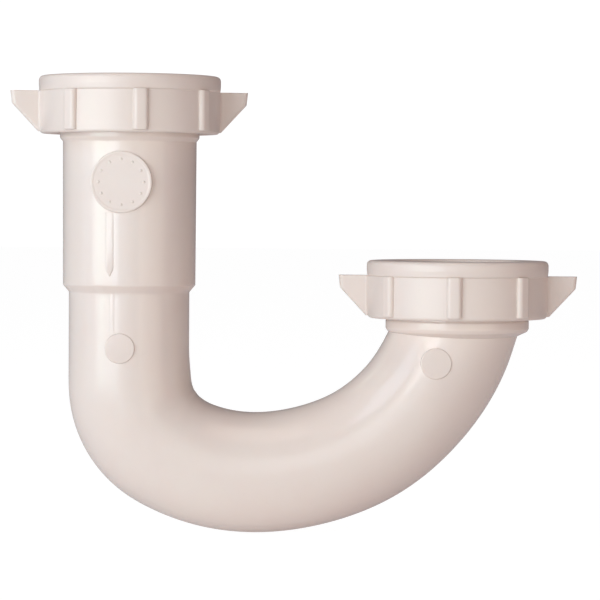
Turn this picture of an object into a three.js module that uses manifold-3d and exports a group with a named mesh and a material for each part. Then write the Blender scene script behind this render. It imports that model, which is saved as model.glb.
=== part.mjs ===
// P-trap J-bend for 1-1/2 in slip-joint drain tube, with its two winged slip
// nuts and the two slip-joint washers the nuts clamp.
// Millimetres, +Z up. +X runs from the inlet leg to the outlet leg, and -Y is
// the front. The centreline lies in the plane y = 0. The origin is under the
// middle of the assembly, level with the lowest point of the bend.

import * as THREE from 'three';
import { mergeVertices } from 'three/addons/utils/BufferGeometryUtils.js';
import Module from 'manifold-3d';

const wasm = await Module();
wasm.setup();

const { degToRad, smoothstep } = THREE.MathUtils;

// ---------------------------------------------------------------- dimensions

const SIDES = 28;                  // round pieces, and thread steps per turn
const NUT_SIDES = 40;              // outside of the nuts
const PAD_SIDES = 32;

// Joints: leg axis x, underside of the nut z, rest angle of the nut in degrees
const INLET = { x: -51.75, z: 125.00, turn: 10 };
const OUTLET = { x: 51.45, z: 67.90, turn: -5 };

// Tube
const TUBE_R = 18.90;              // outside of the 1-1/2 in tube
const BORE_R = 17.20;              // waterway
const SOCKET_R = 20.90;            // outside of the inlet slip socket
const SOCKET_BORE_R = 19.40;       // takes a 38.1 mm tube
const SOCKET_TOP_Z = 122.40;       // socket outside meets the bead under the inlet nut
const SOCKET_LOW_Z = 77.70;        // socket outside starts to step down
const TUBE_TOP_Z = 75.50;          // tube outside starts
const INLET_STOP_Z = 80.00;        // ledge that stops the inlet tailpiece
const OUTLET_STOP_Z = 66.40;       // ledge that stops the trap arm

// Bend centreline: [distance from the end of the straight inlet leg, curvature in 1/mm]
const BEND_KNOTS = [
  [0, 0], [6.288, 0.04263], [12.574, 0.04294], [25.150, 0.04294],
  [31.437, 0.01543], [40.868, 0.01915], [56.586, 0.01616], [75.448, 0.01177],
  [94.310, 0.01909], [113.172, 0.01253], [138.322, 0.02050],
];
const BEND_END = BEND_KNOTS.at(-1)[0];  // the tube enters the outlet collar here
const PATH_STEP = 0.25;            // nominal step for integrating the centreline
const LOW_STATIONS = 12;           // from the inlet leg to the lowest point
const RISE_STATIONS = 9;           // from the lowest point to the outlet collar
const LEG_STATIONS = [-9, -5.5, -2.7, 0];  // rings on the straight leg above the bend
const TUBE_RUNOUT = 9;             // straight run of the tube into the collar
const BORE_RUNOUT = 11;            // straight run of the waterway into the outlet socket

// Extra material on the inside of the turn: [amount, starts, full from, full to, ends]
const FILLS = [
  [1.12, -9, 9, 22, 36],                   // in the tight first bend
  [0.75, 110, 130, Infinity, Infinity],    // running into the outlet collar
];

// Neck (threaded mouth), heights above the underside of its nut
const MOUTH_H = 13.20;             // mouth of the socket
const MOUTH_R = 21.60;             // open radius at the mouth
const MOUTH_CONE = 3.50;           // depth of the washer seat
const MOUTH_SLOPE = (MOUTH_R - SOCKET_BORE_R) / MOUTH_CONE;
const MOUTH_CHAMFER = 0.35;        // outer edge of the mouth
const INLET_BEAD_R = 21.85;        // bead under the inlet nut
const INLET_BEAD_SLOPE_H = 1.30;   // from the socket outside up to the full bead
const COLLAR_R = 22.50;            // bead under the outlet nut

// Thread: 1-1/2 in straight pipe form, 11.5 per inch, right hand
const PITCH = 25.4 / 11.5;
const FLANK = Math.tan(degToRad(30));
const MALE_ROOT_R = 22.35;
const MALE_MAJOR_R = 23.60;
const MALE_CREST = 0.30;
const MALE_FROM = 1.40;            // above the nut's underside, as are the next three
const MALE_TO = 12.60;
const FEMALE_FROM = 1.10;
const FEMALE_TO = 10.90;
const FEMALE_MINOR_R = 22.70;
const FEMALE_MAJOR_R = 23.95;
const FEMALE_CREST = 0.40;
const FEMALE_PHASE = 2.0;          // middle of the nut's rib at angle 0, above its underside
const THREAD_ROOT_EXTRA = 0.5;     // rib carried past its root into the wall
const TRIM_ROOT = 0.4;             // trimming cone carried past the root
const TRIM_CREST = 0.3;            // and past the crest

// Slip nut, in its local frame
const NUT_H = 18.00;
const NUT_RIM_R = 28.50;
const NUT_RIM_H = 4.80;
const NUT_RIM_FILLET = 3.0;
const NUT_RIM_Z = NUT_H - NUT_RIM_H;  // underside of the rim
const NUT_BODY_R = 27.90;             // just under the rim
const NUT_FOOT_R = NUT_BODY_R + 0.2;
const NUT_FOOT_CHAMFER = 0.80;
const NUT_HOLE_R = 19.50;
const NUT_ROOF_Z = 16.00;
const NUT_CAVITY_R = 23.20;           // at the roof
const NUT_ROOF_BEVEL = 0.75;          // height of the slope into the roof
const NUT_MOUTH_BEVEL = 0.95;         // 45 degree flare at the underside

// Grip ribs of the nut
const RIB_ANGLES = [-90, -43, -137, 43, 137, 90];  // degrees about the nut axis
const RIB_HALF = 2.30;             // half width
const RIB_INNER_R = 25.5;          // buried in the nut wall
const RIB_OUT_R = 29.50;
const RIB_ROUND = 1.30;
const RIB_FOOT_Z = 0.70;
const RIB_TOP_Z = NUT_RIM_Z + 0.3;
const RIB_CHAMFER = 0.45;          // outer edge of the foot
const RIB_CHAMFER_EXTRA = 0.6;     // cutting wedge carried past the outer edge

// Wings of the nut
const WING_T = 3.00;
const WING_INNER_R = 25.5;         // buried in the nut wall
const WING_FOOT_R = 28.80;         // lower end of the wing's slanted edge
const WING_TIP_R = 37.45;
const WING_TIP_H = 3.90;
const WING_LOW_Z = 0.6;
const WING_TOP_Z = NUT_H - 4.70;

// Gusset on both sides of a wing
const GUSSET_STEPS = 6;            // up the wing
const GUSSET_INNER_R = 25;
const GUSSET_TRIM_R = 24.8;        // inner edge of the outline that trims it
const GUSSET_T = 9.80;             // half width of the wing's root at the top
const GUSSET_R = 28.40;            // outer edge of its flat facet
const GUSSET_EDGE_T = 1.85;        // half width there, once fully grown
const GUSSET_EDGE_RATE = 1.6;      // that edge grows this much faster than the root
const GUSSET_END_R = 28.95;        // its fillet runs out on the wing here
const GUSSET_SINK = 0.12;          // facet's inner edge sunk into the body

// Washer
const WASHER_BORE_R = 19.20;
const WASHER_R = 22.60;
const WASHER_H = 1.60;             // flange
const WASHER_GAP = 0.30;           // under the nut's roof
const WASHER_CONE_DEPTH = 2.2;     // reach of the cone below the mouth
const WASHER_CONE_GAP = 0.36;      // radial gap between cone and seat
const WASHER_LOW_CHAMFER = 0.2;
const WASHER_TOP_CHAMFER = 0.25;

// Pads on the front of the bend: [x, z, radius, face distance in front of the mid-plane]
const PAD_DEPTH = 5;
const PADS = [
  [INLET.x - 1.40, 109.80, 9.50, SOCKET_R + 0.30],
  [INLET.x - 1.80, 58.50, 4.60, TUBE_R + 0.30],
  [OUTLET.x - 7.40, 54.40, 4.75, TUBE_R + 0.30],
];

// ------------------------------------------------------------- solid helpers

// A closed three.js geometry as a manifold solid. place(point) may move its vertices.
function solid(geometry, place = () => {}) {
  const bare = geometry.clone();
  bare.deleteAttribute('normal');
  bare.deleteAttribute('uv');
  const merged = mergeVertices(bare, 1e-4);
  const position = merged.getAttribute('position');
  const vertices = new Float32Array(position.count * 3);
  const point = new THREE.Vector3();
  for (let i = 0; i < position.count; i++) {
    point.fromBufferAttribute(position, i);
    place(point);
    point.toArray(vertices, i * 3);
  }

  // leave out collapsed triangles, and sum the signed volume of the others
  const triangles = [];
  const index = merged.index.array;
  const vertex = (k) => new THREE.Vector3().fromArray(vertices, k * 3);
  let volume = 0;
  for (let i = 0; i < index.length; i += 3) {
    const [a, b, c] = index.slice(i, i + 3);
    if (a === b || b === c || c === a) continue;
    triangles.push(a, b, c);
    volume += vertex(a).dot(vertex(b).cross(vertex(c)));
  }

  // faces must look outwards
  if (volume < 0) {
    for (let i = 0; i < triangles.length; i += 3) {
      [triangles[i], triangles[i + 1]] = [triangles[i + 1], triangles[i]];
    }
  }
  return new wasm.Manifold(new wasm.Mesh({
    numProp: 3,
    vertProperties: vertices,
    triVerts: new Uint32Array(triangles),
  }));
}

function geometryOf(manifold) {
  const mesh = manifold.getMesh();
  const geometry = new THREE.BufferGeometry();
  const positions = Float32Array.from(mesh.vertProperties);
  geometry.setAttribute('position', new THREE.BufferAttribute(positions, 3));
  geometry.setIndex(new THREE.BufferAttribute(Uint32Array.from(mesh.triVerts), 1));
  geometry.computeVertexNormals();
  return geometry;
}

const union = (solids) => solids.reduce((sum, next) => sum.add(next));

const vectors = (points) => points.map(([u, v]) => new THREE.Vector2(u, v));

// Points on a circle, at the given angles in degrees
function arc(centreU, centreV, radius, angles) {
  return angles.map(degToRad).map((angle) => [
    centreU + radius * Math.cos(angle),
    centreV + radius * Math.sin(angle),
  ]);
}

// Turned solid about +Z through (x, 0): profile is [[radius, z], ...]
function turned(profile, { sides = SIDES, x = 0 } = {}) {
  // the lathe turns about +Y; stand it up on +Z with its seam on +X
  return solid(new THREE.LatheGeometry(vectors(profile), sides), (p) => p.set(p.z + x, p.x, p.y));
}

function extruded(points, depth) {
  const shape = new THREE.Shape(vectors(points));
  return new THREE.ExtrudeGeometry(shape, { depth, bevelEnabled: false, steps: 1 });
}

// Upright plate: outline is [[x, z], ...], centred on y = 0
function plate(outline, thickness) {
  const geometry = extruded(outline, thickness).translate(0, 0, -thickness / 2);
  return solid(geometry, (p) => p.set(p.x, -p.z, p.y));
}

// --------------------------------------------------------- bend centreline

// Curvature at a distance along the bend, linear between the knots
function curvature(distance) {
  for (let i = 1; i < BEND_KNOTS.length; i++) {
    const [from, start] = BEND_KNOTS[i - 1];
    const [to, end] = BEND_KNOTS[i];
    if (distance <= to) return start + (end - start) * (distance - from) / (to - from);
  }
  return 0;
}

// Plane curve in XZ, straight down the inlet leg and then along the bend.
// Heading 0 is straight down, 90 degrees is +X.
class BendPath {
  constructor() {
    const count = Math.round(BEND_END / PATH_STEP);
    this.step = BEND_END / count;
    this.x = [0];
    this.z = [0];
    this.heading = [0];
    for (let i = 0; i < count; i++) {
      const mean = (curvature(i * this.step) + curvature((i + 1) * this.step)) / 2;
      const start = this.heading[i];
      const end = start + mean * this.step;
      const middle = (start + end) / 2;
      this.heading.push(end);
      this.x.push(this.x[i] + Math.sin(middle) * this.step);
      this.z.push(this.z[i] - Math.cos(middle) * this.step);
    }
    this.topZ = TUBE_R - Math.min(...this.z);   // the lowest point of the tube is z = 0
  }

  // position and heading at a distance; negative distances are up the inlet leg
  at(distance) {
    if (distance <= 0) return { x: INLET.x, z: this.topZ - distance, heading: 0 };
    const last = this.x.length - 1;
    const place = Math.min(distance / this.step, last);
    const i = Math.min(Math.floor(place), last - 1);
    const between = (list) => list[i] + (list[i + 1] - list[i]) * (place - i);
    const heading = between(this.heading);
    const over = Math.max(0, distance - BEND_END);
    return {
      x: INLET.x + between(this.x) + Math.sin(heading) * over,
      z: this.topZ + between(this.z) - Math.cos(heading) * over,
      heading,
    };
  }

  whereHeading(angle) {
    const i = this.heading.findIndex((heading) => heading >= angle);
    const before = this.heading[i - 1];
    return (i - 1 + (angle - before) / (this.heading[i] - before)) * this.step;
  }

  // distance of a height on the straight leg
  atHeight(z) {
    return this.topZ - z;
  }
}
const path = new BendPath();

// A lathe of profile [[radius, distance], ...] bent along the path.
// bump(distance, inward) adds to the radius; inward is 1 on the inside of the
// bend and -1 on the outside.
function alongPath(profile, bump = () => 0) {
  return solid(new THREE.LatheGeometry(vectors(profile), SIDES), (p) => {
    const { x, z, heading } = path.at(p.y);
    const plain = Math.hypot(p.x, p.z);
    const inward = plain > 0 ? p.z / plain : 0;
    const sideways = plain > 0 ? p.x / plain : 0;
    const radius = plain + bump(p.y, inward);
    // inside of the bend is to the left of the heading, seen from the front
    p.set(
      x + Math.cos(heading) * radius * inward,
      radius * sideways,
      z + Math.sin(heading) * radius * inward,
    );
  });
}

// Distances at even steps of heading, so closer together where the bend is tighter
function stations() {
  const low = Math.PI / 2;
  const rise = path.at(BEND_END).heading - low;
  const distances = [];
  for (let i = 1; i <= LOW_STATIONS; i++) {
    distances.push(path.whereHeading(low * i / LOW_STATIONS));
  }
  for (let i = 1; i < RISE_STATIONS; i++) {
    distances.push(path.whereHeading(low + rise * i / RISE_STATIONS));
  }
  return distances;
}

// -------------------------------------------------------------------- thread

// Helix about +Z running downwards from angle 0, with frames held radial and axial
class Helix extends THREE.Curve {
  constructor(radius, topZ, turns) {
    super();
    Object.assign(this, { radius, topZ, turns });
  }

  angle(t) {
    return -t * this.turns * 2 * Math.PI;
  }

  getPoint(t, target = new THREE.Vector3()) {
    const angle = this.angle(t);
    const z = this.topZ - t * this.turns * PITCH;
    return target.set(Math.cos(angle) * this.radius, Math.sin(angle) * this.radius, z);
  }

  getPointAt(u, target) {
    return this.getPoint(u, target);
  }

  computeFrenetFrames(segments) {
    const frames = { tangents: [], normals: [], binormals: [] };
    for (let i = 0; i <= segments; i++) {
      const angle = this.angle(i / segments);
      frames.normals.push(new THREE.Vector3(Math.cos(angle), Math.sin(angle), 0));
      frames.binormals.push(new THREE.Vector3(0, 0, 1));
      frames.tangents.push(new THREE.Vector3(Math.sin(angle), -Math.cos(angle), 0));
    }
    return frames;
  }
}

// One thread rib of section [[radius, z], ...]. centreZ is the height of the
// rib's middle at angle 0, modulo the pitch; the rib spans from..to and a
// little more, to be trimmed.
function threadRib(section, centreZ, from, to) {
  const below = Math.ceil((centreZ - from) / PITCH) + 1;
  const turns = Math.ceil((to - from) / PITCH) + 2;
  const topZ = centreZ - below * PITCH + turns * PITCH;
  const helixRadius = FEMALE_MINOR_R;
  const shape = new THREE.Shape(vectors(section.map(([radius, z]) => [radius - helixRadius, z])));
  return solid(new THREE.ExtrudeGeometry(shape, {
    extrudePath: new Helix(helixRadius, topZ, turns),
    steps: turns * SIDES,
    bevelEnabled: false,
  }));
}

function femaleThread() {
  const depth = FEMALE_MAJOR_R - FEMALE_MINOR_R;
  const crest = FEMALE_CREST / 2;
  const root = crest + FLANK * depth;
  const buriedR = FEMALE_MAJOR_R + THREAD_ROOT_EXTRA;
  const rib = threadRib([
    [FEMALE_MINOR_R, -crest], [FEMALE_MAJOR_R, -root], [buriedR, -root],
    [buriedR, root], [FEMALE_MAJOR_R, root], [FEMALE_MINOR_R, crest],
  ], FEMALE_PHASE, FEMALE_FROM, FEMALE_TO);
  // tapers both ends of the rib at 45 degrees
  const outerR = FEMALE_MAJOR_R + TRIM_ROOT;
  const innerR = FEMALE_MINOR_R - TRIM_CREST;
  const trim = turned([
    [outerR, FEMALE_FROM - TRIM_ROOT], [outerR, FEMALE_TO + TRIM_ROOT],
    [innerR, FEMALE_TO - depth - TRIM_CREST], [innerR, FEMALE_FROM + depth + TRIM_CREST],
    [outerR, FEMALE_FROM - TRIM_ROOT],
  ]);
  return rib.intersect(trim);
}

function maleThread({ x, z, turn }) {
  const depth = MALE_MAJOR_R - MALE_ROOT_R;
  const crest = MALE_CREST / 2;
  const root = crest + FLANK * depth;
  const buriedR = MALE_ROOT_R - THREAD_ROOT_EXTRA;
  // half a pitch away from the nut's rib, at the nut's rest angle
  const phase = FEMALE_PHASE + PITCH / 2 - PITCH * turn / 360;
  const rib = threadRib([
    [buriedR, -root], [MALE_ROOT_R, -root], [MALE_MAJOR_R, -crest],
    [MALE_MAJOR_R, crest], [MALE_ROOT_R, root], [buriedR, root],
  ], phase, MALE_FROM, MALE_TO);
  // tapers both ends of the rib at 45 degrees
  const innerR = MALE_ROOT_R - TRIM_ROOT;
  const outerR = MALE_MAJOR_R + TRIM_CREST;
  const trim = turned([
    [innerR, MALE_FROM - TRIM_ROOT], [outerR, MALE_FROM + depth + TRIM_CREST],
    [outerR, MALE_TO - depth - TRIM_CREST], [innerR, MALE_TO + TRIM_ROOT],
    [innerR, MALE_FROM - TRIM_ROOT],
  ]);
  return rib.intersect(trim).translate([x, 0, z]);
}

// ---------------------------------------------------------------------- bend

// Fills on the inside of the turn, rising and falling smoothly along the tube
function fillBump(distance, inward) {
  if (inward <= 0) return 0;
  const amounts = FILLS.map(([amount, start, fullFrom, fullTo, end]) => (
    amount * smoothstep(distance, start, fullFrom) * (1 - smoothstep(distance, fullTo, end))
  ));
  return (amounts[0] + amounts[1]) * inward * inward;
}

// Outside of the inlet neck, socket and tube, as a filled body
function bendShell(ring) {
  const mouth = INLET.z + MOUTH_H;
  const leg = [
    [0, mouth], [MALE_ROOT_R - MOUTH_CHAMFER, mouth], [MALE_ROOT_R, mouth - MOUTH_CHAMFER],
    [MALE_ROOT_R, INLET.z + 0.9], [INLET_BEAD_R, INLET.z + 0.2],
    [INLET_BEAD_R, SOCKET_TOP_Z + INLET_BEAD_SLOPE_H], [SOCKET_R, SOCKET_TOP_Z],
    [SOCKET_R, SOCKET_LOW_Z], [TUBE_R, TUBE_TOP_Z],
  ];
  const tubeEnd = BEND_END + TUBE_RUNOUT;
  return alongPath([
    ...leg.map(([radius, z]) => [radius, path.atHeight(z)]),
    ...[...LEG_STATIONS, ...ring, BEND_END, tubeEnd].map((distance) => [TUBE_R, distance]),
    [0, tubeEnd],
  ], fillBump);
}

// Outside of the outlet collar and neck, as a filled body
function outletNeck() {
  const { x, z } = OUTLET;
  const mouth = z + MOUTH_H;
  return turned([
    [0, z - 5.7], [18.50, z - 5.7], [21.90, z - 4.1],
    [COLLAR_R, z - 3.4], [COLLAR_R, z - 1.1], [MALE_ROOT_R, z - 0.7],
    [MALE_ROOT_R, mouth - MOUTH_CHAMFER], [MALE_ROOT_R - MOUTH_CHAMFER, mouth], [0, mouth],
  ], { x });
}

function pad([x, z, radius, face]) {
  const disc = new THREE.CylinderGeometry(radius, radius, PAD_DEPTH, PAD_SIDES);
  return solid(disc, (p) => p.set(p.x + x, p.y - face + PAD_DEPTH / 2, p.z + z));
}

// The waterway, through every second station
function waterway(ring) {
  const top = path.atHeight(INLET_STOP_Z + 1);
  const end = BEND_END + BORE_RUNOUT;
  const everySecond = ring.filter((_, i) => i % 2 === 1);
  return alongPath([
    [0, top],
    ...[top, 0, ...everySecond, BEND_END, end].map((distance) => [BORE_R, distance]),
    [0, end],
  ]);
}

// Cut for a slip socket and the washer seat at its mouth
function socketCut({ x, z }, stopZ) {
  const mouth = z + MOUTH_H;
  return turned([
    [0, stopZ], [SOCKET_BORE_R, stopZ], [SOCKET_BORE_R, mouth - MOUTH_CONE],
    [MOUTH_R, mouth], [MOUTH_R + MOUTH_SLOPE, mouth + 1], [0, mouth + 1],
  ], { x });
}

function makeBend() {
  const ring = stations();
  const threads = [INLET, OUTLET].map(maleThread);
  return union([bendShell(ring), outletNeck(), ...PADS.map(pad), ...threads])
    .subtract(waterway(ring))
    .subtract(socketCut(INLET, INLET_STOP_Z))
    .subtract(socketCut(OUTLET, OUTLET_STOP_Z));
}

// ----------------------------------------------------------------------- nut
// Local frame: axis +Z, underside of the nut at z = 0, wings on +X and -X

function nutOutside() {
  const filletR = NUT_RIM_R - NUT_RIM_FILLET;
  const filletZ = NUT_H - NUT_RIM_FILLET;
  return turned([
    [0, 0], [NUT_FOOT_R - NUT_FOOT_CHAMFER, 0], [NUT_FOOT_R, NUT_FOOT_CHAMFER],
    [NUT_BODY_R, NUT_RIM_Z], [NUT_RIM_R - 0.2, NUT_RIM_Z], [NUT_RIM_R, NUT_RIM_Z + 0.5],
    ...arc(filletR, filletZ, NUT_RIM_FILLET, [0, 30, 60, 90]),
    [0, NUT_H],
  ], { sides: NUT_SIDES });
}

function nutInside() {
  return turned([
    [0, -1], [FEMALE_MAJOR_R + NUT_MOUTH_BEVEL + 1, -1], [FEMALE_MAJOR_R, NUT_MOUTH_BEVEL],
    [FEMALE_MAJOR_R, NUT_ROOF_Z - NUT_ROOF_BEVEL], [NUT_CAVITY_R, NUT_ROOF_Z],
    [NUT_HOLE_R, NUT_ROOF_Z], [NUT_HOLE_R, NUT_H + 1], [0, NUT_H + 1],
  ]);
}

// Grip rib on +X: a bar with rounded outer edges and a chamfered foot
function gripRib() {
  const roundR = RIB_OUT_R - RIB_ROUND;
  const roundY = RIB_HALF - RIB_ROUND;
  const bar = solid(extruded([
    [RIB_INNER_R, -RIB_HALF],
    ...arc(roundR, -roundY, RIB_ROUND, [-90, -45, 0]),
    ...arc(roundR, roundY, RIB_ROUND, [0, 45, 90]),
    [RIB_INNER_R, RIB_HALF],
  ], RIB_TOP_Z - RIB_FOOT_Z), (p) => p.setZ(p.z + RIB_FOOT_Z));
  // wedge under the outer edge of the foot
  const reach = RIB_CHAMFER + RIB_CHAMFER_EXTRA;
  const wedge = solid(new THREE.BoxGeometry(2, 8, 2), (p) => {
    const outer = p.x > 0;
    const topZ = RIB_FOOT_Z + (outer ? reach : 0);
    const radius = RIB_OUT_R - RIB_CHAMFER + (outer ? reach : 0);
    p.set(radius, p.y, p.z > 0 ? topZ : RIB_FOOT_Z - 1);
  });
  return bar.subtract(wedge);
}

// Wing outline [[radius, z], ...]: a triangle with small breaks at its corners
const wingOutline = (innerR) => [
  [innerR, WING_LOW_Z], [WING_FOOT_R - 0.35, WING_LOW_Z], [WING_FOOT_R, WING_LOW_Z + 0.3],
  [WING_TIP_R - 0.5, WING_TOP_Z - WING_TIP_H - 0.1],
  [WING_TIP_R - 0.2, WING_TOP_Z - WING_TIP_H + 0.4],
  [WING_TIP_R, WING_TOP_Z - 0.4], [WING_TIP_R - 0.4, WING_TOP_Z], [innerR, WING_TOP_Z],
];

// On each side of the wing a flat facet runs from the body to the plate, widest
// at the top, and a small fillet joins it to the plate
function gusset() {
  const halfWing = WING_T / 2;
  const block = new THREE.BoxGeometry(3, 2, GUSSET_STEPS, 3, 1, GUSSET_STEPS);
  return solid(block, (p) => {
    const column = Math.round(p.x + 1.5);
    const up = (p.z + GUSSET_STEPS / 2) / GUSSET_STEPS;
    const z = WING_LOW_Z - 0.1 + (WING_TOP_Z + 0.1 - WING_LOW_Z) * up;
    const grow = 1 - (1 - up) * (1 - up);
    const root = halfWing + (GUSSET_T - halfWing) * grow;
    const edge = halfWing + (GUSSET_EDGE_T - halfWing) * Math.min(1, GUSSET_EDGE_RATE * grow);
    const onBodyR = Math.sqrt(NUT_BODY_R ** 2 - root * root) - GUSSET_SINK;
    const [radius, halfWidth] = [
      [GUSSET_INNER_R, root - 0.1],
      [onBodyR, root],
      [GUSSET_R, edge],
      [GUSSET_END_R, halfWing - 0.02],
    ][column];
    p.set(radius, Math.sign(p.y) * halfWidth, z);
  }).intersect(plate(wingOutline(GUSSET_TRIM_R), 40));
}

function makeNut() {
  const ribs = RIB_ANGLES.map((angle) => gripRib().rotate([0, 0, angle]));
  const wings = [0, 180].map((angle) => (
    plate(wingOutline(WING_INNER_R), WING_T).add(gusset()).rotate([0, 0, angle])
  ));
  return union([nutOutside(), ...ribs, ...wings]).subtract(nutInside()).add(femaleThread());
}

// -------------------------------------------------------------------- washer

// Local frame of its nut. Flat flange under the nut's roof, cone into the mouth.
function makeWasher() {
  const top = NUT_ROOF_Z - WASHER_GAP;
  const flangeLow = top - WASHER_H;
  const coneLow = MOUTH_H - WASHER_CONE_DEPTH;
  const coneR = (z) => MOUTH_R - MOUTH_SLOPE * (MOUTH_H - z) - WASHER_CONE_GAP;
  return turned([
    [WASHER_BORE_R, coneLow], [coneR(coneLow), coneLow], [coneR(flangeLow), flangeLow],
    [WASHER_R - WASHER_LOW_CHAMFER, flangeLow], [WASHER_R, flangeLow + WASHER_LOW_CHAMFER],
    [WASHER_R, top - WASHER_TOP_CHAMFER], [WASHER_R - WASHER_TOP_CHAMFER, top],
    [WASHER_BORE_R, top], [WASHER_BORE_R, coneLow],
  ]);
}

// ----------------------------------------------------------------- materials

// Glossy ivory, for the bend and the nuts
const plastic = () => new THREE.MeshStandardMaterial({
  color: new THREE.Color(0.93, 0.885, 0.855),
  roughness: 0.28,
  metalness: 0,
});

// Duller pale grey, for the washers
const elastomer = () => new THREE.MeshStandardMaterial({
  color: new THREE.Color(0.86, 0.87, 0.86),
  roughness: 0.55,
  metalness: 0,
});

// ------------------------------------------------------------------ assembly

function namedMesh(name, manifold, material) {
  const mesh = new THREE.Mesh(geometryOf(manifold), material);
  mesh.name = name;
  return mesh;
}

// A nut and its washer, standing on their leg
function slipJoint(label, { x, z, turn }) {
  const joint = new THREE.Group();
  joint.position.set(x, 0, z);
  const nut = namedMesh(`${label}_slip_nut`, makeNut(), plastic());
  nut.rotation.z = degToRad(turn);
  joint.add(nut, namedMesh(`${label}_slip_washer`, makeWasher(), elastomer()));
  return joint;
}

const trap = new THREE.Group();
trap.name = 'p_trap';
trap.add(namedMesh('trap_bend', makeBend(), plastic()));
trap.add(slipJoint('inlet', INLET));
trap.add(slipJoint('outlet', OUTLET));

export default trap;
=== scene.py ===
"""A moulded plastic drain trap bend with its two slip nuts and sealing washers.

The bend is a U in the XZ plane. The inlet leg stands at -X and runs down to a turn
that rests on z = 0, then rises to the lower outlet at +X. The front faces -Y.
Shapes are worked out in millimetres and scaled to metres as meshes are made.
"""

import math

import bmesh
import bpy
import numpy as np
from mathutils import Matrix, Vector


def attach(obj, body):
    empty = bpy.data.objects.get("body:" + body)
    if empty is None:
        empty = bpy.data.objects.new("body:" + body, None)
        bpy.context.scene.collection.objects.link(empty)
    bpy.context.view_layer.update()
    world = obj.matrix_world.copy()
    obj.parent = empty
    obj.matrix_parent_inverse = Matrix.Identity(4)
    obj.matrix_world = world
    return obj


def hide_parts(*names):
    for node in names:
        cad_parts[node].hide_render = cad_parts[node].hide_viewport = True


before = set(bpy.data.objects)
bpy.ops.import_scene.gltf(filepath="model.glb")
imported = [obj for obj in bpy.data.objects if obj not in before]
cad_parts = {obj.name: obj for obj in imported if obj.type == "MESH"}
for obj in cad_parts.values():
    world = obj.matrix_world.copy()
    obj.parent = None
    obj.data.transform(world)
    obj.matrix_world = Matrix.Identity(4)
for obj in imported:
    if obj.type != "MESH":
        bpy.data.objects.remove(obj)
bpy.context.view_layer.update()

MM = 0.001

# ------------------------------------------------- driving dimensions, in mm
INLET_X, OUTLET_X = -51.75, 51.45
OUTLET_NUT_Z = 67.90
# label, x, underside of nut, nut turn in degrees, floor of the socket
ENDS = (
    ("inlet", INLET_X, 125.00, 10.0, 80.00),
    ("outlet", OUTLET_X, OUTLET_NUT_Z, -5.0, 66.40),
)
INLET_NUT_Z, INLET_STOP_Z = ENDS[0][2], ENDS[0][4]
TUBE_R, BORE_R = 18.90, 17.20
SOCKET_R, SOCKET_BORE_R = 20.90, 19.40
SOCKET_TOP_Z, SOCKET_LOW_Z, TUBE_TOP_Z = 122.40, 77.70, 75.50
# distance along the centreline, curvature there in radians per mm
BEND_KNOTS = np.array([
    [0, 0], [6.288, 0.04263], [12.574, 0.04294], [25.150, 0.04294],
    [31.437, 0.01543], [40.868, 0.01915], [56.586, 0.01616], [75.448, 0.01177],
    [94.310, 0.01909], [113.172, 0.01253], [138.322, 0.02050]])
BEND_END = BEND_KNOTS[-1, 0]
TUBE_RUNOUT, BORE_RUNOUT = 9.0, 11.0
# extra material on the inside of the turn, by distance along the centreline:
# amount, starts, full from, full to, ends
FILLS = ((1.12, -9, 9, 22, 36), (0.75, 110, 130, 900, 901))
SEAM_H, SEAM_W = 0.04, 0.18

MOUTH_H, MOUTH_R, MOUTH_CONE = 13.20, 21.60, 3.50
MOUTH_SLOPE = (MOUTH_R - SOCKET_BORE_R) / MOUTH_CONE
INLET_BEAD_R, COLLAR_R = 21.85, 22.50

PITCH = 25.4 / 11.5
FLANK = math.tan(math.radians(30))
MALE_ROOT_R, FEMALE_MAJOR_R = 22.35, 23.95
FEMALE_PHASE = 2.0
# radius at the wall and at the crest, crest width, height range, steps per turn
MALE_THREAD = dict(base=MALE_ROOT_R, tip=23.60, crest_w=0.30, low=1.40, high=12.60, steps=96)
FEMALE_THREAD = dict(base=FEMALE_MAJOR_R, tip=22.70, crest_w=0.40, low=1.10, high=10.90, steps=84)

NUT_H, NUT_RIM_R, NUT_RIM_H = 18.00, 28.50, 4.80
NUT_RIM_LOW = NUT_H - NUT_RIM_H
NUT_BODY_R, NUT_HOLE_R, NUT_ROOF_Z, NUT_CAVITY_R = 27.90, 19.50, 16.00, 23.20
RIB_HALF, RIB_INNER_R, RIB_OUT_R, RIB_ROUND, RIB_FOOT = 2.30, 25.6, 29.50, 1.30, 0.70
RIB_ANGLES = (-90, -43, -137, 43, 137, 90)
WING_LOW, WING_TOP = 0.6, NUT_H - 4.70
WING_INNER_R, WING_FOOT_R, WING_TIP_R = 25.0, 28.80, 37.45
WING_TIP_H, WING_TIP_LEAN, WING_HALF = 3.90, 0.45, 3.00 / 2
# facets beside the wing: half width at the nut body, half width at radius GUSSET_R,
# then a fillet that ends at radius GUSSET_END_R
GUSSET_T, GUSSET_EDGE_T, GUSSET_R, GUSSET_END_R = 9.80, 1.85, 28.40, 28.95

WASHER_BORE_R, WASHER_R, WASHER_H, WASHER_GAP = 19.20, 22.60, 1.60, 0.30
WASHER_CONE_GAP, WASHER_REACH = 0.36, 2.2

# round pads on the front of the bend: x, z, radius, distance of the face from y = 0
PADS = (
    (INLET_X - 1.40, 109.80, 9.50, SOCKET_R + 0.30),
    (INLET_X - 1.80, 58.50, 4.60, TUBE_R + 0.30),
    (OUTLET_X - 7.40, 54.40, 4.75, TUBE_R + 0.30),
)
PAD_DEPTH = 6.0
PIP_COUNT, PIP_RING_R, PIP_R = 12, 7.0, 0.42
# flat pointed bars on the front of the inlet leg: facing angle in degrees, left and
# right sides, z of the point, of the shoulders and of the top, radius of the face
BARS = (
    (-11, -2.14, 0.22, 80.7, 83.0, 100.5, 20.94),
    (-10, -1.70, -0.21, 62.3, 62.4, 75.2, 18.94),
)
BAR_DEPTH = 1.3


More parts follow.
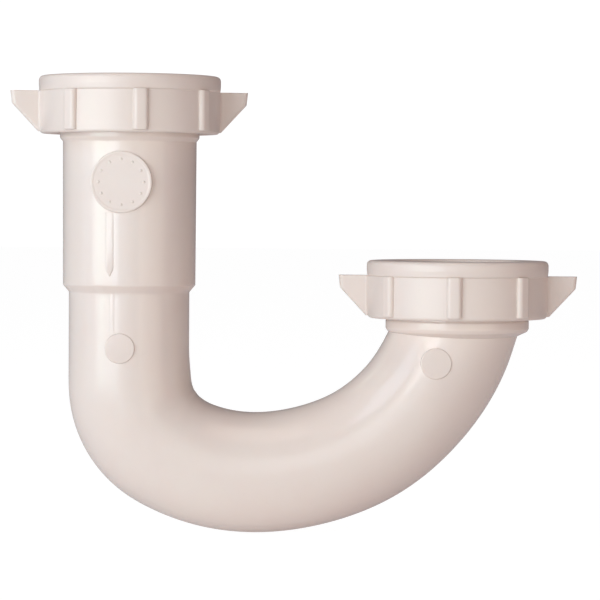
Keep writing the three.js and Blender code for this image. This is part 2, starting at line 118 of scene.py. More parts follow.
# -------------------------------------------------------------- mesh helpers
def mesh_object(name, verts, faces):
    """A mesh object from vertices in millimetres, its faces turned outwards."""
    verts = np.asarray(verts, float)
    mesh = bpy.data.meshes.new(name)
    mesh.from_pydata((verts * MM).tolist(), [], [list(map(int, f)) for f in faces])
    mesh.update()
    volume = 0.0
    for polygon in mesh.polygons:
        corners = [verts[i] for i in polygon.vertices]
        for k in range(1, len(corners) - 1):
            volume += float(np.dot(corners[0], np.cross(corners[k], corners[k + 1])))
    if volume < 0:
        mesh.flip_normals()
    obj = bpy.data.objects.new(name, mesh)
    bpy.context.scene.collection.objects.link(obj)
    return obj


def rounded(points, steps=5):
    """A closed outline with rounded corners. points: (u, v) or (u, v, radius)."""
    outline = []
    for i, point in enumerate(points):
        radius = point[2] if len(point) > 2 else 0
        if not radius:
            outline.append((point[0], point[1]))
            continue
        before, corner, after = (np.array(p[:2], float) for p in
                                 (points[i - 1], point, points[(i + 1) % len(points)]))
        dir1, dir2 = before - corner, after - corner
        len1, len2 = np.linalg.norm(dir1), np.linalg.norm(dir2)
        dir1, dir2 = dir1 / len1, dir2 / len2
        angle = math.acos(max(-1, min(1, float(dir1 @ dir2))))
        # the arc may take up no more than 0.48 of either side
        reach = min(radius / math.tan(angle / 2), 0.48 * len1, 0.48 * len2)
        radius = reach * math.tan(angle / 2)
        bisector = (dir1 + dir2) / np.linalg.norm(dir1 + dir2)
        centre = corner + bisector * (radius / math.sin(angle / 2))
        start, end = (math.atan2(*(corner + d * reach - centre)[::-1]) for d in (dir1, dir2))
        sweep = (end - start + math.pi) % (2 * math.pi) - math.pi
        for k in range(steps + 1):
            a = start + sweep * k / steps
            outline.append((centre[0] + radius * math.cos(a), centre[1] + radius * math.sin(a)))
    return outline


def axis_profile(points, steps=5):
    """A rounded profile; its first and last points lie on the axis and are dropped."""
    return rounded(points, steps)[1:-1]


def subdivided(points, spacing, slant=False):
    """Points added along each segment, the last point left out. Lengths are measured
    along the second coordinate, or along the segment itself if slant."""
    dense = []
    for (r0, h0), (r1, h1) in zip(points[:-1], points[1:]):
        length = math.hypot(r1 - r0, h1 - h0) if slant else abs(h1 - h0)
        k = max(1, int(length / spacing))
        dense += [(r0 + (r1 - r0) * i / k, h0 + (h1 - h0) * i / k) for i in range(k)]
    return dense


def even_angles(n):
    return np.arange(n) * 2 * math.pi / n


def ring_solid(name, rings, poles=None, closed=False):
    """A solid through rings of points. Its ends are fans to the two poles, or flat
    faces if there are none; closed joins the last ring to the first."""
    rings = np.asarray(rings)
    m, n = rings.shape[:2]
    verts = rings.reshape(-1, 3).tolist()
    faces = []
    for i in range(m if closed else m - 1):
        a, b = i * n, ((i + 1) % m) * n
        for j in range(n):
            k = (j + 1) % n
            faces.append((a + j, a + k, b + k, b + j))
    last = (m - 1) * n
    if poles is not None:
        verts += [list(p) for p in poles]
        for j in range(n):
            k = (j + 1) % n
            faces.append((m * n, k, j))
            faces.append((m * n + 1, last + j, last + k))
    elif not closed:
        faces.append(tuple(range(n))[::-1])
        faces.append(tuple(range(last, last + n)))
    return mesh_object(name, verts, faces)


def turned(name, profile, steps, x=0.0, closed=False):
    """A solid of revolution about the vertical through (x, 0). profile: (radius, z)."""
    a = even_angles(steps)
    rings = [np.c_[x + r * np.cos(a), r * np.sin(a), np.full(steps, h)] for r, h in profile]
    poles = None if closed else ((x, 0, profile[0][1]), (x, 0, profile[-1][1]))
    return ring_solid(name, rings, poles, closed)


def boss(name, profile, steps, x, y, z, dome=0.0):
    """A disc that faces -Y. profile: (radius, depth behind y); dome raises its centre."""
    a = even_angles(steps)
    rings = [np.c_[x + r * np.cos(a), np.full(steps, y + d), z + r * np.sin(a)]
             for r, d in profile]
    poles = (x, y + profile[0][1] - dome, z), (x, y + profile[-1][1], z)
    return ring_solid(name, rings, poles)


def combine(base, operation, others):
    for other in others:
        modifier = base.modifiers.new("b", "BOOLEAN")
        modifier.operation = operation
        modifier.solver = "MANIFOLD"
        modifier.object = other
        depsgraph = bpy.context.evaluated_depsgraph_get()
        depsgraph.update()
        mesh = bpy.data.meshes.new_from_object(base.evaluated_get(depsgraph))
        base.modifiers.clear()
        old = base.data
        base.data = mesh
        bpy.data.meshes.remove(old)
        bpy.data.objects.remove(other)


def union(base, *others):
    combine(base, "UNION", others)


def cut(base, *others):
    combine(base, "DIFFERENCE", others)


def finish_piece(obj, name, body, node, material, sharp_angle=32):
    obj.name = obj.data.name = name
    mesh = obj.data
    # the joins leave pairs of vertices that coincide; together they would give sliver faces
    bm = bmesh.new()
    bm.from_mesh(mesh)
    bmesh.ops.remove_doubles(bm, verts=bm.verts, dist=1e-7)
    bm.to_mesh(mesh)
    bm.free()
    mesh.materials.clear()
    mesh.materials.append(material)
    mesh.polygons.foreach_set("use_smooth", [True] * len(mesh.polygons))
    mesh.polygons.foreach_set("material_index", [0] * len(mesh.polygons))
    mesh.set_sharp_from_angle(angle=math.radians(sharp_angle))
    mesh.update()
    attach(obj, body)
    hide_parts(node)


# ----------------------------------------------------------- bend centreline
class Centreline:
    """The tube's centreline: straight down the inlet leg, then round the bend, its
    heading summed from the curvature knots. The lowest wall touches z = 0."""

    def __init__(self, samples=1106):
        self.s = np.linspace(0, BEND_END, samples)
        step = self.s[1]
        curvature = np.interp(self.s, BEND_KNOTS[:, 0], BEND_KNOTS[:, 1])
        self.heading = self.summed((curvature[1:] + curvature[:-1]) / 2 * step)
        middle = (self.heading[1:] + self.heading[:-1]) / 2
        self.x = self.summed(np.sin(middle) * step)
        self.z = -self.summed(np.cos(middle) * step)
        self.top = TUBE_R - self.z.min()

    @staticmethod
    def summed(increments):
        return np.concatenate([[0], np.cumsum(increments)])

    def at(self, s):
        """x, z and heading at distance s; the path runs on straight at both ends."""
        if s <= 0:
            return INLET_X, self.top - s, 0.0
        heading = float(np.interp(s, self.s, self.heading))
        over = max(0.0, s - BEND_END)
        x = INLET_X + float(np.interp(s, self.s, self.x)) + math.sin(heading) * over
        z = self.top + float(np.interp(s, self.s, self.z)) - math.cos(heading) * over
        return x, z, heading

    def leg(self, z):
        """The distance that lies at height z on the inlet leg."""
        return self.top - z


centreline = Centreline()


def seam_angles(n=148):
    """Angles round the tube, with extra lines either side of the mould's parting
    line, which runs along the inside and the outside of the bend."""
    angles = list(even_angles(n))
    step = 2 * math.pi / n
    for seam in (0.0, math.pi):
        angles = [a for a in angles
                  if abs((a - seam + math.pi) % (2 * math.pi) - math.pi) > 1.2 * step]
        angles += [seam + k for k in
                   (-0.030, -0.018, -0.011, -0.005, 0.0, 0.005, 0.011, 0.018, 0.030)]
    return np.array(sorted(a % (2 * math.pi) for a in angles))


def swept(name, profile, angles, bump=None):
    """profile: (radius, distance along the path). Angle 0 is the inside of the bend."""
    rings = []
    cosines, sines = np.cos(angles), np.sin(angles)
    for r, s in profile:
        x, z, heading = centreline.at(s)
        radii = np.full(len(angles), float(r))
        if bump is not None:
            radii = radii + bump(s, cosines, sines, r)
        rings.append(np.c_[x + math.cos(heading) * radii * cosines, radii * sines,
                           z + math.sin(heading) * radii * cosines])
    x0, z0, _ = centreline.at(profile[0][1])
    x1, z1, _ = centreline.at(profile[-1][1])
    return ring_solid(name, rings, ((x0, 0, z0), (x1, 0, z1)))


def smooth_step(value, start, end):
    t = min(1.0, max(0.0, (value - start) / (end - start)))
    return t * t * (3 - 2 * t)


def bend_stations(spacing):
    return list(np.linspace(0, BEND_END, int(BEND_END / spacing) + 1))


# --------------------------------------------------------------------- thread
def thread_section(base, tip, crest_w, fullness):
    """The rib's closed (radius, height) section; fullness 1 is its full height."""
    out = 1 if tip > base else -1
    depth = out * (tip - base)
    top = base + out * ((depth + 0.25) * fullness - 0.25)
    root_half = crest_w / 2 + FLANK * depth + 0.02
    crest_half = crest_w / 2 + FLANK * out * (tip - top) * 0.6
    q = 0.12                               # size of the softened crest edges
    half = [(base - out * 0.6, root_half), (base - out * 0.02, root_half),
            (top - out * q * 1.6, crest_half + q * 0.9),
            (top - out * q * 0.5, crest_half + q * 0.15), (top, crest_half * 0.55)]
    return [(r, -h) for r, h in half] + half[::-1]


def thread(name, base, tip, crest_w, low, high, steps, phase, x=0, z=0):
    """A helical rib at height phase at angle 0, its ends run out to nothing."""
    end_gap = 0.9
    runout = 0.55 * steps
    start = phase - (math.ceil((phase - low) / PITCH) + 1) * PITCH
    total = (math.ceil((high - low) / PITCH) + 2) * steps
    kept = [i for i in range(total + 1)
            if low + end_gap <= start + PITCH * i / steps <= high - end_gap]
    rings = []
    for i in kept:
        a = 2 * math.pi * i / steps
        h = start + PITCH * i / steps
        ease = min((i - kept[0]) / runout, (kept[-1] - i) / runout, 1.0)
        fullness = math.sin(math.pi / 2 * max(0.0, ease)) ** 0.8
        rings.append([(x + r * math.cos(a), r * math.sin(a), z + h + dz)
                      for r, dz in thread_section(base, tip, crest_w, fullness)])
    return ring_solid(name, rings)


# ----------------------------------------------------------------------- bend
def tube_bump(s, cosines, sines, r):
    """What is added to the tube's radius: the inside fills and the parting line."""
    added = np.zeros(len(cosines))
    for amount, start, full_from, full_to, end in FILLS:
        along = amount * smooth_step(s, start, full_from) * (1 - smooth_step(s, full_to, end))
        added += along * np.clip(cosines, 0, 1) ** 2
    if centreline.leg(SOCKET_TOP_Z) < s < BEND_END + 5:
        added += SEAM_H * np.exp(-((sines * r) / SEAM_W) ** 2)
    return added


def bend_tube():
    leg = centreline.leg
    mouth = leg(INLET_NUT_Z + MOUTH_H)
    profile = rounded([
        (0, mouth), (MALE_ROOT_R, mouth, 0.35), (MALE_ROOT_R, leg(INLET_NUT_Z + 0.9), 0.2),
        (INLET_BEAD_R, leg(INLET_NUT_Z + 0.2), 0.2),
        (INLET_BEAD_R, leg(SOCKET_TOP_Z + 1.25), 0.8),
        (SOCKET_R + 0.05, leg(SOCKET_TOP_Z + 0.15), 0.6),
        (SOCKET_R - 0.13, leg(SOCKET_LOW_Z), 0.8), (TUBE_R, leg(TUBE_TOP_Z), 1.1),
        (TUBE_R, leg(50.5)),
    ], 6)[1:]
    # closer rings along the straight walls, so the booleans leave short faces
    profile = subdivided(profile, 1.5) + [(TUBE_R, s) for s in bend_stations(1.3)]
    profile += [(TUBE_R, BEND_END + s) for s in (3, 6, TUBE_RUNOUT)]
    return swept("bend", profile, seam_angles(), tube_bump)


def outlet_neck():
    z = OUTLET_NUT_Z
    profile = axis_profile([
        (0, z - 5.9), (18.20, z - 5.9), (21.95, z - 4.15, 1.0), (COLLAR_R, z - 3.2, 0.9),
        (COLLAR_R, z - 0.9, 0.5), (MALE_ROOT_R, z - 0.6, 0.2),
        (MALE_ROOT_R, z + MOUTH_H, 0.35), (0, z + MOUTH_H),
    ], 6)
    return turned("neck", profile, 168, OUTLET_X)


def pads():
    for i, (x, z, r, face) in enumerate(PADS):
        front = [(0, 0)]
        if i == 0:                         # shallow dished centre inside a rim
            front = [(0, 0.10), (r - 1.0, 0.10, 0.5), (r - 0.75, 0.0, 0.3)]
        profile = axis_profile(front + [(r, 0, 0.22), (r, PAD_DEPTH), (0, PAD_DEPTH)])
        yield boss("pad", profile, 96, x, -face, z)


def pips():
    """Raised pips in a ring on the first pad."""
    x, z, _, face = PADS[0]
    profile = [(PIP_R * 0.45, -0.10), (PIP_R * 0.8, -0.04), (PIP_R, 0.06), (PIP_R, 0.7)]
    for k in range(PIP_COUNT):
        a = math.radians(90 + 360 / PIP_COUNT * k)
        yield boss("pip", profile, 16, x + PIP_RING_R * math.cos(a), -face + 0.02,
                   z + PIP_RING_R * math.sin(a), dome=0.01)


def bars():
    steps = 12
    for turn, left, right, point_z, side_z, top_z, face in BARS:
        sin, cos = math.sin(math.radians(turn)), math.cos(math.radians(turn))

        def place_point(u, d, z):
            return INLET_X + sin * d + cos * u, -cos * d + sin * u, z

        rings = []
        for inset, d in ((0.0, face - BAR_DEPTH), (0.0, face - 0.06), (0.04, face - 0.02),
                         (0.12, face)):
            rise = top_z - side_z - inset
            outline = [(left + inset, top_z - inset - k * rise / steps)
                       for k in range(steps + 1)]
            outline += [((left + right) / 2, point_z + 0.5 * inset)]
            outline += [(right - inset, side_z + k * rise / steps) for k in range(steps + 1)]
            rings.append([place_point(u, d, z) for u, z in outline])
        poles = [place_point((left + right) / 2, d, (side_z + top_z) / 2)
                 for d in (face - BAR_DEPTH, face)]
        yield ring_solid("bar", rings, poles)


def bend_bore():
    profile = [(BORE_R, centreline.leg(z)) for z in (INLET_STOP_Z + 1, 70, 60)]
    profile += [(BORE_R, s) for s in bend_stations(1.6)]
    profile += [(BORE_R, BEND_END + 4), (BORE_R, BEND_END + BORE_RUNOUT)]
    return swept("bore", profile, even_angles(128))


def make_bend():
    bend = bend_tube()
    union(bend, outlet_neck())
    for parts in (pads, pips, bars):
        union(bend, *parts())
    for _, x, nut_z, turn, _ in ENDS:
        # half a pitch from the nut's thread, so the two mesh
        phase = FEMALE_PHASE + PITCH / 2 - PITCH * turn / 360
        union(bend, thread("rib", **MALE_THREAD, phase=phase, x=x, z=nut_z))
    cut(bend, bend_bore())
    for _, x, nut_z, _, stop in ENDS:
        mouth = nut_z + MOUTH_H
        profile = axis_profile([
            (0, stop), (SOCKET_BORE_R, stop, 0.3), (SOCKET_BORE_R, mouth - MOUTH_CONE, 1.0),
            (MOUTH_R, mouth), (MOUTH_R + MOUTH_SLOPE, mouth + 1), (0, mouth + 1)])
        cut(bend, turned("socket", profile, 144, x))
    return bend


# ------------------------------------------------------------------------ nut
def wing(side):
    """Winged lug on the +X (side 1) or -X (side -1) of the nut: a plate with softened
    edges, and on each face a flat facet and a fillet that join it to the body,
    widest at the top."""
    low, top = WING_LOW, WING_TOP
    tip_low = top - WING_TIP_H
    overhang = WING_TIP_R - WING_TIP_LEAN - WING_FOOT_R
    slant = np.array([tip_low - low, -overhang])
    slant = slant / np.linalg.norm(slant)      # outward normal of the underside, in (r, z)
    tip_round, slant_round, top_round = 1.35, 0.85, 0.35

    def outer(z):
        if z >= tip_low:
            return WING_TIP_R - WING_TIP_LEAN * (top - z) / WING_TIP_H
        return WING_FOOT_R + overhang * (z - low) / (tip_low - low)

    def facet(z):
        """Half width at the body, the radius there, and half width at GUSSET_R."""
        up = min(1.0, max(0.0, (z - low) / (top - low)))
        grow = 1 - (1 - up) ** 2
        width = WING_HALF + (GUSSET_T - WING_HALF) * grow
        edge = WING_HALF + (GUSSET_EDGE_T - WING_HALF) * min(1.0, 1.6 * grow)
        return width, math.sqrt(NUT_BODY_R ** 2 - width * width) - 0.02, edge

    def half_width(r, z):
        width, body_r, edge = facet(z)
        if r <= body_r:
            return width + 0.8 * (body_r - r)
        if r <= GUSSET_R:
            return width + (edge - width) * (r - body_r) / (GUSSET_R - body_r)
        if r <= GUSSET_END_R:
            left = (GUSSET_END_R - r) / (GUSSET_END_R - GUSSET_R)
            return WING_HALF + (edge - WING_HALF) * left ** 2
        return WING_HALF

    def edge_loss(r, z):
        """What the rounded top, tip and underside edges take off the half width."""
        loss = 0.0
        under = -((r - WING_FOOT_R) * slant[0] + (z - low) * slant[1])
        for distance, radius in ((top - z, top_round), (outer(max(z, tip_low)) - r, tip_round),
                                 (under, slant_round)):
            distance = max(0.0, distance)
            if distance < radius:
                loss = max(loss, radius - math.sqrt(radius * radius - (radius - distance) ** 2))
        return loss

    def columns(z):
        """Radii of the grid's columns at height z, crowded towards the outer edge."""
        end = outer(z)
        body_r = facet(z)[1]
        facet_end = min(GUSSET_R, end - 0.20)
        fillet_end = min(GUSSET_END_R, end - 0.12)
        plate_end = max(fillet_end + 0.02, end - 2.0)
        edge = end - (end - plate_end) * (1 - np.sin(np.linspace(0, math.pi / 2, 16)))
        return np.concatenate([np.linspace(WING_INNER_R, body_r, 5)[:-1],
                               np.linspace(body_r, facet_end, 9)[:-1],
                               np.linspace(facet_end, fillet_end, 9)[:-1],
                               np.linspace(fillet_end, plate_end, 14)[:-1], edge])

    # rows crowded within half a millimetre of the bottom and the top
    margin = 0.5
    ease = np.array([0.0, 0.03, 0.08, 0.16, 0.28, 0.45, 0.7, 1.0]) * margin
    heights = np.unique(np.round(np.concatenate(
        [low + ease, np.linspace(low + margin, top - margin, 34), top - ease[::-1]]), 6))
    grid = []
    for z in heights:
        row = [(r, max(0.12, half_width(r, z) - edge_loss(r, z))) for r in columns(z)]
        grid.append([[(r, w, z) for r, w in row], [(r, -w, z) for r, w in row]])
    grid = np.array(grid).transpose(1, 0, 2, 3)
    m, n = grid.shape[1:3]
    verts = grid.reshape(-1, 3) * np.array([side, side, 1])

    p, q = np.arange(2 * m * n).reshape(2, m, n)      # the plate's two faces
    faces = []
    for i in range(m - 1):
        for j in range(n - 1):
            faces.append((p[i, j], p[i, j + 1], p[i + 1, j + 1], p[i + 1, j]))
            faces.append((q[i, j], q[i + 1, j], q[i + 1, j + 1], q[i, j + 1]))
    for j in range(n - 1):
        faces.append((p[0, j], q[0, j], q[0, j + 1], p[0, j + 1]))
        faces.append((p[-1, j], p[-1, j + 1], q[-1, j + 1], q[-1, j]))
    for i in range(m - 1):
        faces.append((p[i, 0], p[i + 1, 0], q[i + 1, 0], q[i, 0]))
        faces.append((p[i, -1], q[i, -1], q[i + 1, -1], p[i + 1, -1]))
    return mesh_object("wing", verts, faces)


def nut_body():
    profile = axis_profile([
        (0, 0), (NUT_BODY_R + 0.20, 0, 0.9), (NUT_BODY_R, NUT_RIM_LOW - 0.05, 0.2),
        (NUT_RIM_R - 0.12, NUT_RIM_LOW + 0.15, 0.4), (NUT_RIM_R + 0.03, NUT_RIM_LOW + 1.9, 3.0),
        (NUT_RIM_R, NUT_H, 2.85), (25.3, NUT_H), (24.8, NUT_H), (21.5, NUT_H), (20.6, NUT_H),
        (0, NUT_H),
    ], 9)
    return turned("nut", subdivided(profile, 1.2) + [profile[-1]], 192)


def nut_rib(degrees):
    """An upright bar with rounded outer edges, its ends eased off."""
    sin, cos = math.sin(math.radians(degrees)), math.cos(math.radians(degrees))
    top = NUT_RIM_LOW + 0.12
    # how far the section is drawn in, height
    levels = [(0.42, RIB_FOOT), (0.24, RIB_FOOT + 0.05), (0.12, RIB_FOOT + 0.14),
              (0.04, RIB_FOOT + 0.27)]
    levels += [(0.0, RIB_FOOT + 0.45 + k * (top - RIB_FOOT - 0.75) / 8) for k in range(9)]
    levels += [(0.03, top - 0.17), (0.09, top - 0.07), (0.20, top)]
    rings = []
    for inset, h in levels:
        half, out = RIB_HALF - inset, RIB_OUT_R - inset
        section = rounded([(RIB_INNER_R, -half), (out, -half, RIB_ROUND),
                           (out, half, RIB_ROUND), (RIB_INNER_R, half)], 10)
        rings.append([(u * cos - v * sin, u * sin + v * cos, h) for u, v in section])
    poles = [(27.0 * cos, 27.0 * sin, h) for h in (levels[0][1], levels[-1][1])]
    return ring_solid("rib", rings, poles)


def nut_inside():
    profile = axis_profile([
        (0, -1), (FEMALE_MAJOR_R + 1.95, -1), (FEMALE_MAJOR_R, 0.95, 0.6),
        (FEMALE_MAJOR_R, NUT_ROOF_Z - 0.75, 0.3), (NUT_CAVITY_R, NUT_ROOF_Z, 0.3),
        (NUT_HOLE_R, NUT_ROOF_Z), (NUT_HOLE_R, NUT_H - 0.45, 0.2),
        (NUT_HOLE_R + 0.75, NUT_H + 0.3), (0, NUT_H + 0.3)])
    return turned("inside", profile, 168)


def make_nut():
    nut = nut_body()
    union(nut, *[nut_rib(degrees) for degrees in RIB_ANGLES])
    union(nut, wing(1), wing(-1))
    cut(nut, nut_inside())
    union(nut, thread("nut_rib", **FEMALE_THREAD, phase=FEMALE_PHASE))
    return nut


def make_washer():
    """A flat ring under the nut's roof, with a cone that reaches into the mouth."""
    top = NUT_ROOF_Z - WASHER_GAP
    low = top - WASHER_H
    tip = MOUTH_H - WASHER_REACH

    def cone_r(h):
        return MOUTH_R - MOUTH_SLOPE * (MOUTH_H - h) - WASHER_CONE_GAP

    profile = rounded([
        (WASHER_BORE_R, tip, 0.15), (cone_r(tip), tip, 0.2), (cone_r(low), low, 0.2),
        (WASHER_R, low, 0.25), (WASHER_R, top, 0.35), (WASHER_BORE_R, top, 0.3)])
    dense = subdivided(profile + profile[:1], 0.9, slant=True)
    return turned("washer", dense, 176, closed=True)


def place(obj, x, z, turn):
    move = Matrix.Translation((x * MM, 0, z * MM))
    obj.data.transform(move @ Matrix.Rotation(math.radians(turn), 4, "Z"))
    obj.data.update()
    return obj


# ------------------------------------------------------------------ materials
class Nodes:
    """A shader node tree. Each method adds a node and returns its output socket."""

    def __init__(self, owner):
        owner.use_nodes = True
        self.tree = owner.node_tree
        self.tree.nodes.clear()

    def add(self, kind, inputs={}, output=0, **settings):
        node = self.tree.nodes.new("ShaderNode" + kind)
        for key, value in settings.items():
            setattr(node, key, value)
        for key, value in inputs.items():
            if isinstance(value, bpy.types.NodeSocket):
                self.tree.links.new(value, node.inputs[key])
            else:
                node.inputs[key].default_value = value
        return node.outputs[output]

    def finish(self, shader, kind="Material"):
        node = self.tree.nodes.new("ShaderNodeOutput" + kind)
        self.tree.links.new(shader, node.inputs["Surface"])

    def math(self, operation, a, b, clamp=False):
        return self.add("Math", {0: a, 1: b}, operation=operation, use_clamp=clamp)

    def noise(self, vector, scale, detail, roughness=0.5, distortion=0.0):
        return self.add("TexNoise", {"Vector": vector, "Scale": scale, "Detail": detail,
                                     "Roughness": roughness, "Distortion": distortion})

    def remap(self, value, start, end, low=0.0, high=1.0):
        return self.add("MapRange", {"Value": value, "From Min": start, "From Max": end,
                                     "To Min": low, "To Max": high})

    def mapping(self, vector, scale, rotation=(0, 0, 0)):
        return self.add("Mapping", {"Vector": vector, "Scale": scale, "Rotation": rotation})

    def mix(self, factor, a, b):
        a, b = ((*c, 1.0) if isinstance(c, tuple) else c for c in (a, b))
        return self.add("Mix", {0: factor, 6: a, 7: b}, output=2, data_type="RGBA")

    def tint(self, colour, mask, other, strength):
        return self.mix(self.math("MULTIPLY", mask, strength, clamp=True), colour, other)

    def bump(self, height, strength, distance, **normal):
        return self.add("Bump", {"Height": height, "Strength": strength,
                                 "Distance": distance, **normal})

    def worn_edges(self):
        """1 on convex edges, 0 on flats."""
        return self.remap(self.add("NewGeometry", output="Pointiness"), start=0.50, end=0.58)

    def rougher_edges(self, roughness, edge):
        return self.math("ADD", roughness, self.math("MULTIPLY", edge, 0.08), clamp=True)


def srgb(*channels):
    def linear(c):
        c /= 255
        return c / 12.92 if c <= 0.04045 else ((c + 0.055) / 1.055) ** 2.4
    return tuple(linear(c) for c in channels)


def plastic(name, base, warm, roughness, flow_scale):
    """Glossy moulded polypropylene: cloudy colour, fine flow streaks, an orange
    peel of a few microns, light scuffs and softened, slightly paler edges."""
    material = bpy.data.materials.new(name)
    nodes = Nodes(material)
    position = nodes.add("TexCoord", output="Object")
    edge = nodes.worn_edges()
    pale = tuple(min(1.0, c * 1.015 + 0.004) for c in base)
    dust = tuple(c * 0.95 for c in warm)

    cloud = nodes.noise(position, scale=38.0, detail=4.0, roughness=0.55, distortion=0.4)
    streak = nodes.noise(nodes.mapping(position, flow_scale),
                         scale=60.0, detail=4.0, roughness=0.6, distortion=0.8)
    fleck = nodes.noise(position, scale=900.0, detail=2.0)
    colour = nodes.mix(nodes.remap(cloud, start=0.35, end=0.65), base, warm)
    colour = nodes.tint(colour, nodes.remap(streak, start=0.40, end=0.75), pale, strength=0.30)
    colour = nodes.tint(colour, edge, pale, strength=0.45)
    colour = nodes.tint(colour, nodes.remap(fleck, start=0.66, end=0.74), dust, strength=0.22)

    smear = nodes.noise(nodes.mapping(position, scale=(1, 1, 1.6), rotation=(0.3, 0.2, 0.5)),
                        scale=75.0, detail=5.0, roughness=0.6, distortion=1.2)
    scuff = nodes.noise(nodes.mapping(position, scale=(9, 1.2, 1.0), rotation=(0.4, 0.7, 0.2)),
                        scale=260.0, detail=3.0, roughness=0.6, distortion=0.2)
    smeared = nodes.remap(smear, start=0.3, end=0.7, low=roughness - 0.012,
                          high=roughness + 0.018)
    scuffed = nodes.math("MULTIPLY", nodes.remap(scuff, start=0.66, end=0.76), 0.045)

    soft_edges = nodes.add("Bevel", {"Radius": 0.00035}, samples=4)
    waves = nodes.noise(position, scale=150.0, detail=3.0, distortion=0.3)
    peel = nodes.noise(position, scale=1500.0, detail=2.0)
    normal = nodes.bump(waves, strength=0.16, distance=0.00012, Normal=soft_edges)
    normal = nodes.bump(peel, strength=0.16, distance=0.00003, Normal=normal)
    nodes.finish(nodes.add("BsdfPrincipled", {
        "Base Color": colour,
        "Roughness": nodes.rougher_edges(nodes.math("ADD", smeared, scuffed), edge),
        "IOR": 1.53,
        "Subsurface Weight": 0.10,
        "Subsurface Radius": (1.0, 0.62, 0.45),
        "Subsurface Scale": 0.0035,
        "Normal": normal,
    }))
    return material


def polyethylene(name):
    """Frosted natural polyethylene of the washers, with fine turned rings."""
    material = bpy.data.materials.new(name)
    nodes = Nodes(material)
    position = nodes.add("TexCoord", output="Object")
    cloud = nodes.noise(position, scale=120.0, detail=4.0, roughness=0.6, distortion=0.3)
    rings = nodes.add("TexWave", {"Vector": position, "Scale": 900.0, "Distortion": 0.6},
                      output="Fac", wave_type="RINGS", rings_direction="Z")
    frosted = nodes.remap(cloud, start=0.3, end=0.7, low=0.42, high=0.55)
    nodes.finish(nodes.add("BsdfPrincipled", {
        "Base Color": nodes.mix(nodes.remap(cloud, start=0.3, end=0.7),
                                srgb(226, 228, 226), srgb(212, 214, 213)),
        "Roughness": nodes.rougher_edges(frosted, nodes.worn_edges()),
        "Subsurface Weight": 0.3,
        "Subsurface Radius": (1.0, 1.0, 0.95),
        "Subsurface Scale": 0.003,
        "Normal": nodes.bump(rings, strength=0.2, distance=0.00004),
    }))
    return material


bend_plastic = plastic("bend_polypropylene", base=srgb(237, 222, 213), warm=srgb(235, 218, 209),
                       roughness=0.18, flow_scale=(1.0, 1.0, 0.18))
nut_plastic = plastic("nut_polypropylene", base=srgb(234, 219, 210), warm=srgb(231, 215, 206),
                      roughness=0.34, flow_scale=(1.0, 1.0, 0.5))
washer_pe = polyethylene("washer_polyethylene")

# ------------------------------------------------------------------- assembly
finish_piece(make_bend(), "bend_moulding", "bend", "trap_bend", bend_plastic)
for label, x, z, turn, _ in ENDS:
    finish_piece(place(make_nut(), x, z, turn), f"{label}_nut_moulding", f"{label}_nut",
                 f"{label}_slip_nut", nut_plastic, sharp_angle=24)
    finish_piece(place(make_washer(), x, z, 0), f"{label}_washer_ring", f"{label}_washer",
                 f"{label}_slip_washer", washer_pe)
# the CAD nodes stay in the frame under their fine versions; they carry the same plastics
for node, material in (("trap_bend", bend_plastic),
                       ("inlet_slip_nut", nut_plastic), ("outlet_slip_nut", nut_plastic),
                       ("inlet_slip_washer", washer_pe), ("outlet_slip_washer", washer_pe)):
    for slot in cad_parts[node].material_slots:
        slot.material = material

# ---------------------------------------------------------- stage, in metres
scene = bpy.context.scene
AIM = (0.0, 0.0, 0.070)
# soft boxes: name, azimuth (0 is the camera's side, + is right), elevation,
# distance, width, height, watts in red, green and blue
LIGHTS = (
    ("key_1", -24, 6, 1.25, 0.197, 0.46, (1.31, 1.28, 1.28)),
    ("key_2", -33, 6, 1.25, 0.197, 0.46, (1.36, 1.33, 1.32)),
    ("key_3", -42, 6, 1.25, 0.197, 0.46, (1.2, 1.19, 1.05)),
    ("key_4", -51, 6, 1.25, 0.197, 0.46, (1.24, 1.44, 1.24)),
    ("key_5", -60, 6, 1.25, 0.197, 0.46, (1.05, 0.99, 0.95)),
    ("key_side", -75, 8, 1.25, 0.45, 0.6, (0.66, 0.73, 0.93)),
    ("key_high", -50, 32, 1.25, 0.6, 0.5, (1.49, 1.75, 2.26)),
    ("front_left", -10, 12, 1.25, 0.4, 0.6, (0.56, 0.59, 0.71)),
    ("front", 0, 13, 1.4, 1.4, 0.8, (2.0, 2.35, 2.15)),
    ("right_side", 75, 15, 1.25, 0.5, 0.6, (0.55, 0.26, 0.28)),
    ("top", 0, 80, 1.25, 0.8, 0.8, (2.74, 2.18, 1.85)),
    ("back_left", -120, 30, 1.25, 0.5, 0.6, (0.51, 0.61, 0.49)),
    ("card_left", -40.0, -5.1, 0.656, 0.55, 0.3, (0.11, 0.43, 0.61)),
    ("card_right", 40.0, -5.1, 0.656, 0.55, 0.3, (0.71, 0.62, 0.5)),
)


def floor_paper():
    """Near white to the camera; a tinted glow and bounce to every other ray."""
    material = bpy.data.materials.new("floor_paper")
    nodes = Nodes(material)

    def glowing_paper(diffuse, glow, strength):
        return nodes.add("AddShader", {
            0: nodes.add("BsdfDiffuse", {"Color": diffuse}),
            1: nodes.add("Emission", {"Color": glow, "Strength": strength})})

    bounce = glowing_paper(diffuse=(0.70, 0.70, 0.70, 1), glow=(0.181, 0.166, 0.173, 1),
                           strength=1.0)
    seen = glowing_paper(diffuse=(0.12, 0.12, 0.12, 1), glow=(1, 1, 1, 1), strength=0.97)
    camera_ray = nodes.add("LightPath", output="Is Camera Ray")
    nodes.finish(nodes.add("MixShader", {0: camera_ray, 1: bounce, 2: seen}))
    return material


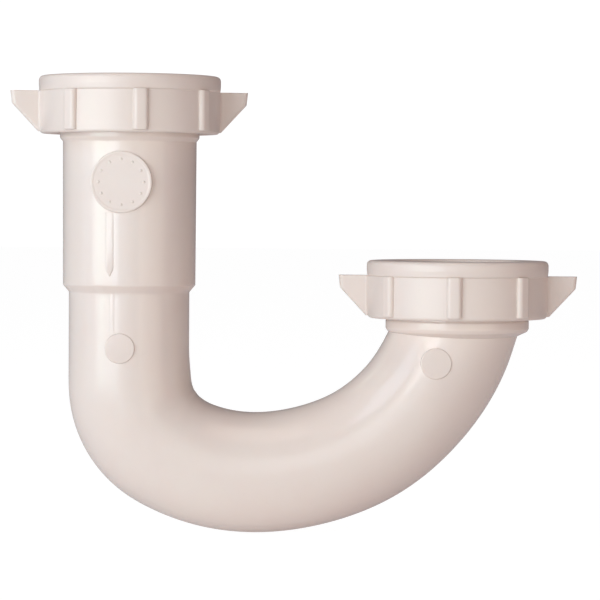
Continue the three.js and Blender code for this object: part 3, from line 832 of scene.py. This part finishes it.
def make_floor():
    half, z = 6, -0.0006
    mesh = bpy.data.meshes.new("floor")
    corners = [(-half, -half, z), (half, -half, z), (half, half, z), (-half, half, z)]
    mesh.from_pydata(corners, [], [(0, 1, 2, 3)])
    floor = bpy.data.objects.new("floor", mesh)
    scene.collection.objects.link(floor)
    mesh.materials.append(floor_paper())


def make_world():
    """White behind the object, a dim tinted fill for every other ray."""
    world = bpy.data.worlds.new("studio")
    scene.world = world
    nodes = Nodes(world)
    fill = nodes.add("Background", {"Color": (0.168, 0.162, 0.175, 1), "Strength": 1.0})
    backdrop = nodes.add("Background", {"Color": (1, 1, 1, 1), "Strength": 1.05})
    camera_ray = nodes.add("LightPath", output="Is Camera Ray")
    nodes.finish(nodes.add("MixShader", {0: camera_ray, 1: fill, 2: backdrop}), "World")


def soft_box(name, azimuth, elevation, distance, width, height, watts):
    az, el = math.radians(azimuth), math.radians(elevation)
    light = bpy.data.lights.new(name, "AREA")
    light.energy = max(watts)
    light.color = tuple(v / max(watts) for v in watts)
    light.shape = "RECTANGLE"
    light.size = width
    light.size_y = height
    obj = bpy.data.objects.new(name, light)
    location = Vector((distance * math.cos(el) * math.sin(az),
                       -distance * math.cos(el) * math.cos(az),
                       AIM[2] + distance * math.sin(el)))
    obj.location = location
    obj.rotation_euler = (Vector(AIM) - location).to_track_quat("-Z", "Y").to_euler()
    scene.collection.objects.link(obj)


def make_camera():
    lens = 171.8
    horizon_offset = 5.7       # mm on the sensor from its centre to the horizon
    roll = math.radians(0.37)
    data = bpy.data.cameras.new("camera")
    camera = bpy.data.objects.new("camera", data)
    scene.collection.objects.link(camera)
    data.sensor_width = 36.0
    data.lens = lens
    data.clip_start = 0.01
    data.clip_end = 60
    camera.location = (0.00199, -0.900, 0.10308)
    pitch_down = math.atan(horizon_offset / lens)
    look = Vector((0, math.cos(pitch_down), -math.sin(pitch_down)))
    aimed = look.to_track_quat("-Z", "Y").to_matrix().to_4x4()
    camera.rotation_euler = (aimed @ Matrix.Rotation(roll, 4, "Z")).to_euler()
    scene.camera = camera


make_floor()
make_world()
for light_row in LIGHTS:
    soft_box(*light_row)
make_camera()

scene.view_settings.view_transform = "Standard"
scene.view_settings.look = "None"
scene.view_settings.exposure = 0.0
scene.view_settings.gamma = 1.0

bpy.context.view_layer.update()
